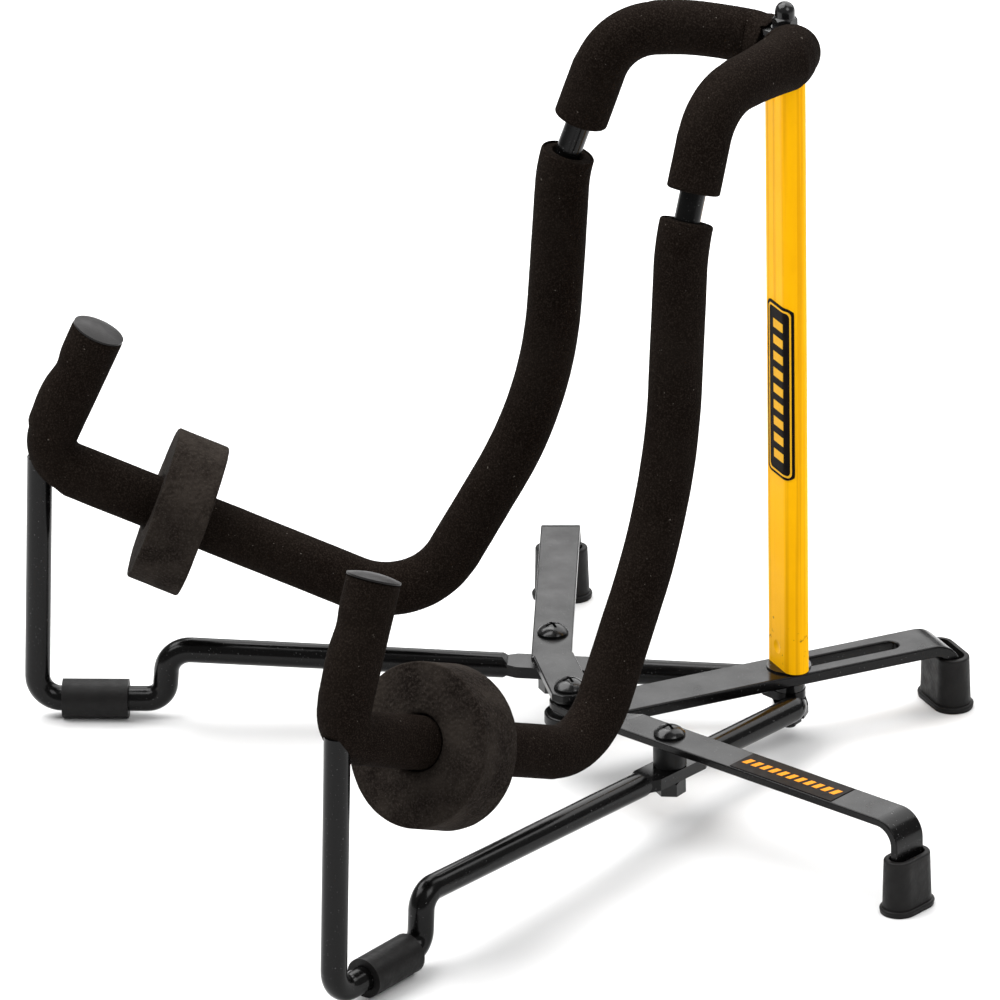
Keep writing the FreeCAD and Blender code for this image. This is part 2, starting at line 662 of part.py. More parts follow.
def leg_outer_run(side, flat_pivot, outward):
    """The flat outer run of a leg, bent down into its foot."""
    middle_z = V(0, 0, LEG_BOTTOM + LEG_THICKNESS / 2)
    start = flat_pivot + middle_z - outward * (CREASE_FROM_PIVOT + MITRE_SPARE)
    turn = flat_pivot + middle_z + outward * LEG_RUN[side] - V(0, 0, LEG_DROP[side])
    corners = [start, turn, V(turn.x, turn.y, LEG_END_Z)]
    radii = [LEG_BEND_R]
    if LEG_DROP[side]:
        corners.insert(1, flat_pivot + middle_z + outward * DROP_START)
        radii.insert(0, DROP_BEND_R)
    path = rounded_path(corners, radii)
    return with_rounded_edges(flat_bar(path, LEG_WIDTH, LEG_THICKNESS), LEG_EDGE_R)


def inner_end(side, middle, inward, low, high):
    """The end past the middle screw: rounded on the right leg, cornered on the left one."""
    half = LEG_WIDTH / 2
    if side == "right":
        return tube(half, 0, low, high, middle)
    across = V(-inward.y, inward.x, 0)
    outline = [(0, -half), (END_REACH - END_CORNER, -half), (END_REACH, END_CORNER - half),
               (END_REACH, half - END_CORNER), (END_REACH - END_CORNER, half), (0, half)]
    corners = [middle + inward * a + across * b + V(0, 0, low) for a, b in outline]
    return Part.Face(Part.makePolygon(corners + corners[:1])).extrude(V(0, 0, high - low))


def leg_inner_run(side, crease, inward, length):
    """The inner run: a step up or down after the crease, then flat to the middle screw."""
    step = INNER_STEP[side]
    step_end = STEP_START + STEP_RUN[side]
    low = LEG_BOTTOM
    high = LEG_BOTTOM + LEG_THICKNESS
    outline = [(-MITRE_SPARE, low), (STEP_START, low), (step_end, low + step),
               (length, low + step), (length, high + step), (step_end, high + step),
               (STEP_START, high), (-MITRE_SPARE, high)]
    body = prism(outline, crease, inward, Z_AXIS, LEG_WIDTH / 2)
    end = inner_end(side, crease + inward * length, inward, low + step, high + step)
    return with_rounded_edges(body.fuse(end).removeSplitter(), LEG_EDGE_R)


def leg_slot(flat_pivot, middle):
    """The hole for the middle screw, long enough for the opened pivot's drift."""
    towards_pivot = (flat_pivot - middle).normalize()
    start = middle - towards_pivot * SLOT_OUTER_ROOM
    end = middle + towards_pivot * SLOT_DRIFT
    length = SLOT_DRIFT + SLOT_OUTER_ROOM
    slot = prism([(0, 20), (length, 20), (length, 50), (0, 50)], start, towards_pivot,
                 Z_AXIS, SLOT_HALF_WIDTH)
    return slot.fuse([tube(SLOT_HALF_WIDTH, 0, 20, 50, at) for at in (start, end)])


def leg_bar(side):
    pivot = leg_pivot()
    flat_pivot = V(pivot.x, pivot.y, 0)
    outward = leg_outward(side)
    crease = flat_pivot - outward * CREASE_FROM_PIVOT
    middle = V(0, MIDDLE_PIVOT_Y, 0)
    length = (middle - crease).Length
    inward = (middle - crease).normalize()
    mitre = (inward - outward).normalize()
    inner_side = prism([(0, 0), (100, 0), (100, 60), (0, 60)], crease, mitre, Z_AXIS, 60)
    outer = leg_outer_run(side, flat_pivot, outward).cut(inner_side)
    inner = leg_inner_run(side, crease, inward, length).common(inner_side)
    bar = outer.fuse(inner).removeSplitter()
    bar = bar.cut(tube(SCREW_R + RUNNING_GAP, 0, 0, 60, flat_pivot))
    return bar.cut(leg_slot(flat_pivot, middle)).removeSplitter()


def leg_decal(pivot, outward):
    """Plain printed strip on the leg's top face."""
    first, last = DECAL_FROM_PIVOT
    top = LEG_BOTTOM + LEG_THICKNESS
    outline = [(first, top), (last, top), (last, top + DECAL_THICKNESS),
               (first, top + DECAL_THICKNESS)]
    return prism(outline, V(pivot.x, pivot.y, 0), outward, Z_AXIS,
                 LEG_WIDTH / 2 - DECAL_MARGIN)


def build_side_leg(side):
    pivot = leg_pivot()
    flat_pivot = V(pivot.x, pivot.y, 0)
    outward = leg_outward(side)
    boot = foot(SIDE_FOOT["length"], SIDE_FOOT["depth"], LEG_WIDTH, LEG_THICKNESS)
    boot.rotate(V(0, 0, 0), Z_AXIS, LEG_ANGLE[side] - 90)
    boot.translate(flat_pivot + outward * LEG_RUN[side])
    leaf_top = pivot.z + FLAT_HALF_THICKNESS + 0.3
    leaf_bottom = pivot.z - FLAT_HALF_THICKNESS - 0.3
    spacer = tube(SPACER_R, SCREW_R + 0.02, leaf_top, LEG_BOTTOM - 0.1, flat_pivot)
    seat = LEG_BOTTOM + LEG_THICKNESS + 0.1
    screw = pan_screw(flat_pivot, seat, leaf_bottom - NUT_HEIGHT - 0.8)
    nut = hexagon_nut(NUT_FLATS, SCREW_R, leaf_bottom - NUT_HEIGHT, leaf_bottom, flat_pivot)
    pieces = {"leg_bar": leg_bar(side), "foot": boot, "leg_spacer": spacer,
              "leg_screw": screw, "leg_nut": nut}
    if side == "right":
        pieces["leg_decal"] = leg_decal(pivot, outward)
    for name, shape in pieces.items():
        PARTS[side + "_" + name] = placed(shape, side)


# ---------------------------------------------------------------- build and write
def centre_setback():
    """How far the middle of the open stand lies in front of the post's axis."""
    boxes = [shape.optimalBoundingBox(False) for shape in PARTS.values()]
    return -(min(box.YMin for box in boxes) + max(box.YMax for box in boxes)) / 2


def main():
    build_post()
    build_rear_leg()
    for side in ("right", "left"):
        build_gate(side)
        build_side_leg(side)
    setback = centre_setback()
    pivot = leg_pivot()
    print("post axis at y = %.3f" % setback)
    print("right leg pivot at x = %.3f, y = %.3f" % (pivot.x, pivot.y + setback))
    print("middle pivot at y = %.3f" % (MIDDLE_PIVOT_Y + setback))
    for name, shape in sorted(PARTS.items()):
        moved = shape.copy()
        moved.translate(V(0, setback, 0))
        if not moved.isValid() or not all(solid.isClosed() for solid in moved.Solids):
            print("not a valid closed solid:", name)
        print("%-20s solids %d  volume %9.1f" % (name, len(moved.Solids), moved.Volume))
        moved.exportStep("parts/" + name + ".step")


main()
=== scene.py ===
"""Looks of the folding guitar stand: foam, sponge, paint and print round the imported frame.

Points are in metres and named lengths in millimetres, with +Z up. The post's axis is the
centre of the post tube's box.
"""
import json
import math

import bpy
from mathutils import Matrix, Vector, noise


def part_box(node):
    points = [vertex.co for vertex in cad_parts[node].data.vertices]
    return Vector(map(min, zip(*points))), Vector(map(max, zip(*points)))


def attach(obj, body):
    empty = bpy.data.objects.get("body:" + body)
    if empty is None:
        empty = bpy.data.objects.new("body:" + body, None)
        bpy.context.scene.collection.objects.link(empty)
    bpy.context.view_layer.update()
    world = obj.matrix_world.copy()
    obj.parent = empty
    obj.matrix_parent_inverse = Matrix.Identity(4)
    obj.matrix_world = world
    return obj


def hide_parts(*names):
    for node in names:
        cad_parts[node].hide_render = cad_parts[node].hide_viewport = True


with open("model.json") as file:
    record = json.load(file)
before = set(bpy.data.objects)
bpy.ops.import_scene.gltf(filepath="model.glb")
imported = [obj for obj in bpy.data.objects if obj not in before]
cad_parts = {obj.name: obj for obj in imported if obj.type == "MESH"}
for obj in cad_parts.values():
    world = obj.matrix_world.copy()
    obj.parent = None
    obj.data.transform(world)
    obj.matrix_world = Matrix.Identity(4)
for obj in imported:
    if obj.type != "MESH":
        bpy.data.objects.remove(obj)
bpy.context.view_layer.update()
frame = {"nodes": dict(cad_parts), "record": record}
MM = 0.001                     # one millimetre in the frame's metres
UP = Vector((0, 0, 1))
SIDES = {"right": 1, "left": -1}

# the gates' rods, in each gate's own plane: u outward from its hinge, z up
OPEN_ANGLE = math.radians(27.44)
GATE_OFFSET = 11.25            # how far the gate's plane lies beside the post's axis
HINGE_RUN_U = 11.5
HINGE_BEND_R = 8.0
ARM_TOP_Z = 274.3
ARM_CORNERS = {                # (u, z, bend radius) from the arch to the elbow
    "right": [(58.5, 274.0, 22.0), (77.8, 222.0, 60.0), (85.6, 131.0, 170.0),
              (137.2, 45.5, 25.0), (278.0, 105.3, 12.0)],
    "left": [(62.5, 274.3, 22.0), (81.3, 222.0, 60.0), (88.0, 131.0, 170.0),
             (137.2, 44.7, 29.0), (276.6, 105.3, 12.0)],
}
ARM_TIP = {"right": (256.0, 157.2), "left": (253.4, 155.4)}
BEND_STEP = 0.8                # longest step round a bend
BEND_STEPS_MIN = 8
TANGENT_REACH = 0.7            # how far each way a direction along the rod is read
BEND_REACH = 1.0               # how far each way a bend's tightness is read

# the foam sleeves; starts and ends are lengths along the arm from the hinge
UPPER_FOAM = {"right": (10.6, 93.3), "left": (5.6, 99.5)}
LOWER_FOAM_START = {"right": 104.0, "left": 113.0}
FOAM_R = {"right": 9.75, "left": 10.0}
FOAM_LUMPS = ((0.14, 38.0), (0.05, 150.0))       # (height, scale per metre)
LUMPS_READ_AT = 0.01           # metres from the centre line
TIGHT_BEND = (0.02, 0.08)      # 1/mm, where foam starts to flatten and where it is fully flat
BEND_FLATTEN = 1.3
# how far the arch's foam stands above its rod: (length, rise)
ARCH_BOW = {"right": [(0, -0.3), (14, 0.0), (70, 0.0)],
            "left": [(4, -2.9), (44, 1.5), (84, 0.0)]}
HINGE_SWELL = {"right": 1.7, "left": 0.0}
SWELL_LENGTH = 30.0
POST_TOP_CLEAR_Z = 263.5       # the soft ends lie flat over the post
POST_TOP_REACH = 14.0
LOW_LUG_TOP_Z = 276.3          # the other gate's lug and the spacer turn below this
LOW_LUG_CLEAR_R = 6.8
HIGH_LUG = (6.25, 279.5, 13.0)  # the left arm's lug: half width, top, reach from the axis
LUG_SKIN = 0.7
LUG_GAP = 0.2
LUG_FADE = 8.0
LUG_FACING_MIN = 0.05          # only directions that point up can meet the lug
TIP_PINCH = (18.0, 4.5, -1.1)  # from the tip, half length, depth, on the side away from the post
TIP_SWELL = (31.0, 7.0, 0.7)
FOAM_BORE_R = 4.95
LOOSE_MOUTH = 1.1              # the lower foam gapes a little at its top
MOUTH_LENGTH = 6.0
HINGE_FLARE_R = 5.9            # the bore where the flattened lug goes in
FLARE_LENGTH = 5.0
CAP_POCKET_R = 6.15
CAP_POCKET_DEPTH = 8.4
BORE_CHAMFER = (0.4, 0.5)      # length, height
FOAM_EDGE_R = 1.1              # rounding of a sleeve's rims
EDGE_STEPS = 5
STATION_STEP = 1.6
BORE_STEP = 3.0
AROUND = 48                    # points round a sleeve's section

# the sponge discs
DISC_U = {"right": 224.5, "left": 226.0}
DISC_R = 29.0
DISC_HALF = 10.0               # half of the thickness
DISC_BORE_R = 10.25
DISC_EDGE_R = 0.9
DISC_EDGE_STEPS = 6
DISC_FACE_RADII = (24.0, 20.0, 16.0, 12.5)
DISC_MOUTH = ((0.25, 11.0), (0.9, DISC_BORE_R))  # (depth, radius) from the face into the bore
DISC_LOOSE_R = 24.0            # the sponge grips at its bore and is fully loose from here out
DISC_LUMPS = ((0.16, 70.0), (0.07, 420.0))       # (height, scale per metre)
DISC_AROUND = 128
DISC_SAG = {"right": 0.9, "left": 0.0}
DISC_RADIUS_MORE = {"right": 0.6, "left": 0.2}
DISC_TILT = {"right": 1.0, "left": 2.5}          # degrees more upright than square on the cradle


# ---------------------------------------------------------------- frame helpers
def centre_of(node):
    low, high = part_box(node)
    return (low + high) / 2


POST = centre_of("post_tube")
POST_AXIS = Vector((POST.x, POST.y, 0))


def gate_point(side, u, z, offset=GATE_OFFSET):
    """A point of an open gate in the row frame, in metres."""
    x = SIDES[side] * (offset * math.cos(OPEN_ANGLE) + u * math.sin(OPEN_ANGLE))
    y = offset * math.sin(OPEN_ANGLE) - u * math.cos(OPEN_ANGLE)
    return Vector((x * MM, POST.y + y * MM, z * MM))


def smooth(value, low, high):
    """0 up to low, 1 from high on, and eased between them."""
    t = min(max((value - low) / (high - low), 0.0), 1.0)
    return t * t * (3 - 2 * t)


def lumps(point, layers):
    """The height of a lumpy surface at a point, in millimetres."""
    return sum(height * noise.noise(point * scale) for height, scale in layers)


# ---------------------------------------------------------------- meshes
def new_piece(name, verts, faces, material, body, smooth_shaded=True):
    mesh = bpy.data.meshes.new(name)
    mesh.from_pydata([tuple(v) for v in verts], [], faces)
    mesh.polygons.foreach_set("use_smooth", [smooth_shaded] * len(faces))
    mesh.materials.append(material)
    mesh.validate()
    mesh.update()
    piece = bpy.data.objects.new(name, mesh)
    bpy.context.scene.collection.objects.link(piece)
    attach(piece, body)
    return piece


def closed_rings(rings):
    """Vertices and faces of equal rings, joined round and back to the first ring."""
    count = len(rings[0])
    verts = [v for ring in rings for v in ring]
    faces = []
    for i in range(len(rings)):
        j = (i + 1) % len(rings)
        for k in range(count):
            m = (k + 1) % count
            faces.append((i * count + k, i * count + m, j * count + m, j * count + k))
    return verts, faces


def path_points(side):
    """Dense points along the foam's centre line, from the hinge to the tip."""
    corners = [gate_point(side, 0, ARM_TOP_Z, 0.0), gate_point(side, HINGE_RUN_U, ARM_TOP_Z)]
    corners += [gate_point(side, u, z) for u, z, _ in ARM_CORNERS[side]]
    corners.append(gate_point(side, *ARM_TIP[side]))
    radii = [HINGE_BEND_R] + [r for _, _, r in ARM_CORNERS[side]]
    points = [corners[0]]
    for before, corner, after, radius in zip(corners, corners[1:], corners[2:], radii):
        back = (before - corner).normalized()
        ahead = (after - corner).normalized()
        half = back.angle(ahead) / 2
        reach = radius * MM / math.tan(half)
        centre = corner + (back + ahead).normalized() * (radius * MM / math.sin(half))
        first = corner + back * reach - centre
        last = corner + ahead * reach - centre
        turn = first.angle(last)
        axis = first.cross(last).normalized()
        steps = max(BEND_STEPS_MIN, int(turn * radius / BEND_STEP))
        for k in range(steps + 1):
            points.append(centre + Matrix.Rotation(turn * k / steps, 3, axis) @ first)
    points.append(corners[-1])
    return points


class Path:
    """A polyline that is read by the length along it, in millimetres."""

    def __init__(self, points):
        self.points = points
        self.lengths = [0.0]
        for a, b in zip(points, points[1:]):
            self.lengths.append(self.lengths[-1] + (b - a).length / MM)
        self.total = self.lengths[-1]

    def at(self, length):
        length = min(max(length, 0.0), self.total)
        low, high = 0, len(self.lengths) - 1
        while high - low > 1:
            middle = (low + high) // 2
            if self.lengths[middle] <= length:
                low = middle
            else:
                high = middle
        span = max(self.lengths[high] - self.lengths[low], 1e-9)
        return self.points[low].lerp(self.points[high], (length - self.lengths[low]) / span)

    def along(self, length):
        return (self.at(length + TANGENT_REACH) - self.at(length - TANGENT_REACH)).normalized()

    def inward(self, length):
        """Direction to the inside of the bend here; its length is the bend's 1/radius."""
        change = self.along(length + BEND_REACH) - self.along(length - BEND_REACH)
        return change / (2 * BEND_REACH)


def sleeve_profile(start, end, inner_radius):
    """(length, bore radius or None on the outside, change of radius) round a sleeve's section."""
    edge = FOAM_EDGE_R
    chamfer_length, chamfer = BORE_CHAMFER
    steps = int((end - start - 2 * edge) / STATION_STEP)
    profile = []
    for k in range(EDGE_STEPS):
        angle = math.pi / 2 * k / EDGE_STEPS
        profile.append((start + edge * (1 - math.sin(angle)), -edge * (1 - math.cos(angle))))
    for k in range(steps + 1):
        profile.append((start + edge + (end - start - 2 * edge) * k / steps, 0.0))
    for k in range(1, EDGE_STEPS + 1):
        angle = math.pi / 2 * k / EDGE_STEPS
        profile.append((end - edge * (1 - math.sin(angle)), -edge * (1 - math.cos(angle))))
    outer = [(at, None, drop) for at, drop in profile]
    inner = [(end, inner_radius(end) + chamfer, 0.0)]
    count = int((end - start) / BORE_STEP)
    for k in range(count + 1):
        at = end - chamfer_length - (end - start - 2 * chamfer_length) * k / count
        inner.append((at, inner_radius(at), 0.0))
    inner.append((start, inner_radius(start) + chamfer, 0.0))
    return outer + inner


def bow_at(side, length):
    """How far the arch's foam stands above its rod, in millimetres."""
    points = ARCH_BOW[side]
    for (at, rise), (next_at, next_rise) in zip(points, points[1:]):
        if length <= next_at:
            return rise + (next_rise - rise) * smooth(length, at, next_at)
    return 0.0


def clear_of_hinge(point):
    """The point, moved clear of the post's top, the spacer and the other gate's lug."""
    out = Vector((point.x - POST.x, point.y - POST.y, 0))
    if out.length > POST_TOP_REACH * MM or point.z < POST.z:
        return point
    point.z = max(point.z, POST_TOP_CLEAR_Z * MM)
    if point.z < LOW_LUG_TOP_Z * MM and out.length < LOW_LUG_CLEAR_R * MM:
        point += out.normalized() * (LOW_LUG_CLEAR_R * MM - out.length)
    return point


def past_lug(at, centre, direction, margin):
    """Radius at which the left foam's section clears the flat lug inside it."""
    half_width, top, reach = HIGH_LUG
    if direction.z < LUG_FACING_MIN:
        return 0.0
    level = max(math.hypot(direction.x, direction.y), 1e-6)
    high = top + margin - centre.z / MM
    radius = min((half_width + margin) / level, high / direction.z)
    return radius * (1 - smooth(at, reach, reach + LUG_FADE))


def hump(value, feature):
    """The height of a rounded rise, or a dip where its depth is negative."""
    centre, half, depth = feature
    return depth * math.exp(-((value - centre) / half) ** 2)


def foam_surface(point, direction, inward, radius):
    """The foam's radius in one direction: slight lumps, flatter outside of tight bends."""
    lumpy = radius + lumps(point, FOAM_LUMPS)
    bend = inward.length
    if bend < 1e-6:
        return lumpy
    facing = direction.dot(inward.normalized())
    tight = smooth(bend, *TIGHT_BEND)
    return lumpy - BEND_FLATTEN * tight * max(0.0, -facing) ** 2


def foam_sleeve(name, side, start, end, inner_radius, material):
    """A foam tube along the arm, closed at its rims and through its bore."""
    path = Path(path_points(side))
    at_hinge = start < SWELL_LENGTH
    rings = []
    across = UP.cross(path.along(start)).normalized()
    previous = path.along(start)
    forward = (gate_point(side, 1, 0) - gate_point(side, 0, 0)).normalized()
    for at, bore, drop in sleeve_profile(start, end, inner_radius):
        along = path.along(at)
        across = previous.rotation_difference(along) @ across
        across = (across - along * across.dot(along)).normalized()
        previous = along
        other = along.cross(across)
        centre = path.at(at) + UP * bow_at(side, at) * MM
        inward = path.inward(at)
        swell = 0.0
        if at_hinge:
            swell = HINGE_SWELL[side] * (1 - smooth(at, start, start + SWELL_LENGTH))
        squeeze = hump(path.total - at, TIP_PINCH) + hump(path.total - at, TIP_SWELL)
        ring = []
        for k in range(AROUND):
            angle = 2 * math.pi * k / AROUND
            direction = across * math.cos(angle) + other * math.sin(angle)
            radius = bore
            if bore is None:
                radius = foam_surface(centre + direction * LUMPS_READ_AT, direction, inward,
                                      FOAM_R[side]) + drop + swell
                radius += squeeze * max(0.0, direction.dot(forward))
            if side == "left" and at_hinge:
                margin = LUG_SKIN if bore is None else LUG_GAP
                radius = max(radius, past_lug(at, centre, direction, margin))
            ring.append(clear_of_hinge(centre + direction * radius * MM))
        rings.append(ring)
    verts, faces = closed_rings(rings)
    piece = new_piece(name, verts, faces, material, side + "_gate")
    return piece


def upper_bore(side):
    """The arch foam's bore radius along the arm, wider where it takes in the lug."""
    start = UPPER_FOAM[side][0]

    def radius(at):
        eased = smooth(at, start, start + FLARE_LENGTH)
        return HINGE_FLARE_R + (FOAM_BORE_R - HINGE_FLARE_R) * eased
    return radius


def lower_bore(start, total):
    """The arm foam's bore radius along the arm, with a loose mouth and the cap's pocket."""
    def radius(at):
        if at > total - CAP_POCKET_DEPTH:
            return CAP_POCKET_R
        return FOAM_BORE_R + LOOSE_MOUTH * (1 - smooth(at, start, start + MOUTH_LENGTH))
    return radius


def add_foam(side, material):
    """The two foam sleeves of one gate."""
    start, end = UPPER_FOAM[side]
    upper = foam_sleeve(side + "_arch_sleeve", side, start, end, upper_bore(side), material)
    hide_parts(side + "_upper_foam")
    total = Path(path_points(side)).total
    start = LOWER_FOAM_START[side]
    lower = foam_sleeve(side + "_arm_sleeve", side, start, total, lower_bore(start, total),
                        material)
    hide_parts(side + "_lower_foam")


def disc_profile():
    """(along, radius) round the disc's closed section, with soft outer edges."""
    edge = DISC_EDGE_R
    half = DISC_HALF
    profile = []
    for k in range(DISC_EDGE_STEPS + 1):
        angle = math.pi / 2 * k / DISC_EDGE_STEPS
        profile.append((-half + edge - edge * math.cos(angle),
                        DISC_R - edge + edge * math.sin(angle)))
    profile += [(a, DISC_R) for a in (-5.0, -1.7, 1.7, 5.0)]
    for k in range(DISC_EDGE_STEPS + 1):
        angle = math.pi / 2 * (1 - k / DISC_EDGE_STEPS)
        profile.append((half - edge + edge * math.cos(angle),
                        DISC_R - edge + edge * math.sin(angle)))
    profile += [(half, radius) for radius in DISC_FACE_RADII]
    profile += [(half - depth, radius) for depth, radius in DISC_MOUTH]
    profile += [(a, DISC_BORE_R) for a in (5.0, 0.0, -5.0)]
    profile += [(-half + depth, radius) for depth, radius in reversed(DISC_MOUTH)]
    profile += [(-half, radius) for radius in reversed(DISC_FACE_RADII)]
    return profile


def add_disc(side, material):
    """A sponge-rubber disc on the cradle; its rim sags a little below its bore."""
    (low_u, low_z, _), (high_u, high_z, _) = ARM_CORNERS[side][-2:]
    rise = (high_z - low_z) / (high_u - low_u)
    u = DISC_U[side]
    centre = gate_point(side, u, low_z + rise * (u - low_u))
    along = (gate_point(side, u + 1, rise) - gate_point(side, u, 0)).normalized()
    across = UP.cross(along).normalized()
    other = along.cross(across)
    rings = []
    for a, radius in disc_profile():
        loose = smooth(radius, DISC_BORE_R, DISC_LOOSE_R)
        sag = DISC_SAG[side] * loose
        lean = math.tan(math.radians(DISC_TILT[side])) * loose
        radius += DISC_RADIUS_MORE[side] * loose
        ring = []
        for k in range(DISC_AROUND):
            angle = 2 * math.pi * k / DISC_AROUND
            direction = across * math.cos(angle) + other * math.sin(angle)
            tilt = lean * radius * math.sin(angle)
            point = centre + (along * (a + tilt) + direction * radius - other * sag) * MM
            if loose > 0:
                rough = lumps(point, DISC_LUMPS)
                point += (direction * rough + along * rough * math.copysign(1, a)) * MM
            ring.append(point)
        rings.append(ring)
    verts, faces = closed_rings(rings)
    piece = new_piece(side + "_sponge_disc", verts, faces, material, side + "_disc")
    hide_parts(side + "_stop_disc")


# ---------------------------------------------------------------- badge and leg print
BADGE_Z = (106.0, 174.0)
BADGE_LEFT = -5.5              # the badge's left edge, from the post's axis
POST_FLAT = 6.0                # half width of the post's flat front
BADGE_TOP_R = 5.05             # post radius plus the badge's thickness
BADGE_WIDTH = 17.2
PRINT_BASE = 0.01              # a print's underside, above what it is printed on
INK = 0.1                      # a print's top on the badge
BORDER_INSET = 1.1
BORDER_CORNER_R = 1.8
BORDER_WIDTH = 0.75
BAR_COUNT = 9
BAR_HEIGHT = 3.4
BAR_LEFT = 4.8
BAR_WIDTH = 7.6
BAR_COLUMNS = 9                # mesh columns, so that a bar follows the post's rounded edge
BARS_MARGIN = 5.0              # from the badge's top and bottom edges
DASH_COUNT = 11
DASH_PITCH = 4.1
DASH_HALF = (1.2, 2.0)         # along the leg and across it
DASH_SLANT = 0.25
DASH_TOP = 0.08


def badge_point(s, z, lift):
    """A point on the badge: s runs across it, round the post's rounded edge."""
    radius = BADGE_TOP_R + lift
    flat = POST_FLAT - BADGE_LEFT
    if s <= flat:
        return POST_AXIS + Vector((BADGE_LEFT + s, -radius, z)) * MM
    angle = (s - flat) / BADGE_TOP_R
    x = POST_FLAT + radius * math.sin(angle)
    return POST_AXIS + Vector((x, -radius * math.cos(angle), z)) * MM


def rounded_loop(width, height, radius, steps=6):
    """Points round a rectangle with rounded corners, centred on the origin."""
    loop = []
    for k, (sx, sy) in enumerate(((1, 1), (-1, 1), (-1, -1), (1, -1))):
        cx, cy = sx * (width / 2 - radius), sy * (height / 2 - radius)
        for i in range(steps + 1):
            angle = math.pi / 2 * (k + i / steps)
            loop.append((cx + radius * math.cos(angle), cy + radius * math.sin(angle)))
    return loop


def divided(loop, longest=1.5):
    """The loop with points added, so that no step is longer than this."""
    points = []
    for a, b in zip(loop, loop[1:] + loop[:1]):
        steps = max(1, math.ceil(math.dist(a, b) / longest))
        points += [(a[0] + (b[0] - a[0]) * k / steps, a[1] + (b[1] - a[1]) * k / steps)
                   for k in range(steps)]
    return points


def add_badge_border(material):
    """A thin printed line just inside the badge's edge."""
    middle = (BADGE_WIDTH / 2, sum(BADGE_Z) / 2)
    width = BADGE_WIDTH - 2 * BORDER_INSET
    height = BADGE_Z[1] - BADGE_Z[0] - 2 * BORDER_INSET
    outer = divided(rounded_loop(width, height, BORDER_CORNER_R))
    rings = []
    for shrink, lift in ((0.0, PRINT_BASE), (0.0, INK),
                         (BORDER_WIDTH, INK), (BORDER_WIDTH, PRINT_BASE)):
        ring = []
        for s, z in outer:
            scale = (1 - shrink / (BADGE_WIDTH / 2), 1 - shrink / (BADGE_Z[1] - middle[1]))
            ring.append(badge_point(middle[0] + s * scale[0], middle[1] + z * scale[1], lift))
        rings.append(ring)
    verts, faces = closed_rings(rings)
    new_piece("badge_border", verts, faces, material, "post", False)


def box_faces(columns, base):
    """Faces of a closed strip whose columns each hold four points."""
    faces = []
    for i in range(columns - 1):
        for k in range(4):
            m = (k + 1) % 4
            a, b = base + i * 4, base + (i + 1) * 4
            faces.append((a + k, a + m, b + m, b + k))
    last = base + (columns - 1) * 4
    return faces + [(base, base + 3, base + 2, base + 1), (last, last + 1, last + 2, last + 3)]


def add_badge_bars(material):
    """A column of plain bars in the middle of the badge."""
    verts, faces = [], []
    pitch = (BADGE_Z[1] - BADGE_Z[0] - 2 * BARS_MARGIN) / BAR_COUNT
    for bar in range(BAR_COUNT):
        middle = BADGE_Z[0] + BARS_MARGIN + pitch * (bar + 0.5)
        low, high = middle - BAR_HEIGHT / 2, middle + BAR_HEIGHT / 2
        base = len(verts)
        for k in range(BAR_COLUMNS):
            s = BAR_LEFT + BAR_WIDTH * k / (BAR_COLUMNS - 1)
            verts += [badge_point(s, z, lift) for z, lift in
                      ((low, PRINT_BASE), (low, INK), (high, INK), (high, PRINT_BASE))]
        faces += box_faces(BAR_COLUMNS, base)
    new_piece("badge_bars", verts, faces, material, "post", False)


def add_leg_dashes(material):
    """A row of small slanted dashes on the strip of the right side leg."""
    pivot = centre_of("right_leg_screw")
    decal = centre_of("right_leg_decal")
    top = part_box("right_leg_decal")[1].z
    along = Vector((decal.x - pivot.x, decal.y - pivot.y, 0)).normalized()
    across = UP.cross(along)
    verts, faces = [], []
    half_length, half_width = DASH_HALF
    corners = ((-half_width, PRINT_BASE), (-half_width, DASH_TOP),
               (half_width, DASH_TOP), (half_width, PRINT_BASE))
    for k in range(DASH_COUNT):
        base = len(verts)
        for a in (-half_length, half_length):
            start = DASH_PITCH * (k - (DASH_COUNT - 1) / 2) + a
            for b, lift in corners:
                point = Vector((decal.x, decal.y, top + lift * MM))
                verts.append(point + (along * (start + DASH_SLANT * b) + across * b) * MM)
        faces += box_faces(2, base)
    new_piece("leg_dashes", verts, faces, material, "right_leg", False)


# ---------------------------------------------------------------- materials
NOISE_SPREAD = (0.3, 0.7)      # where most of a noise's values lie
STREAK_STRETCH = 0.012         # scale along Z, so that noise is drawn out into streaks
BAND_FADE = 0.003              # metres over which a band fades in and out


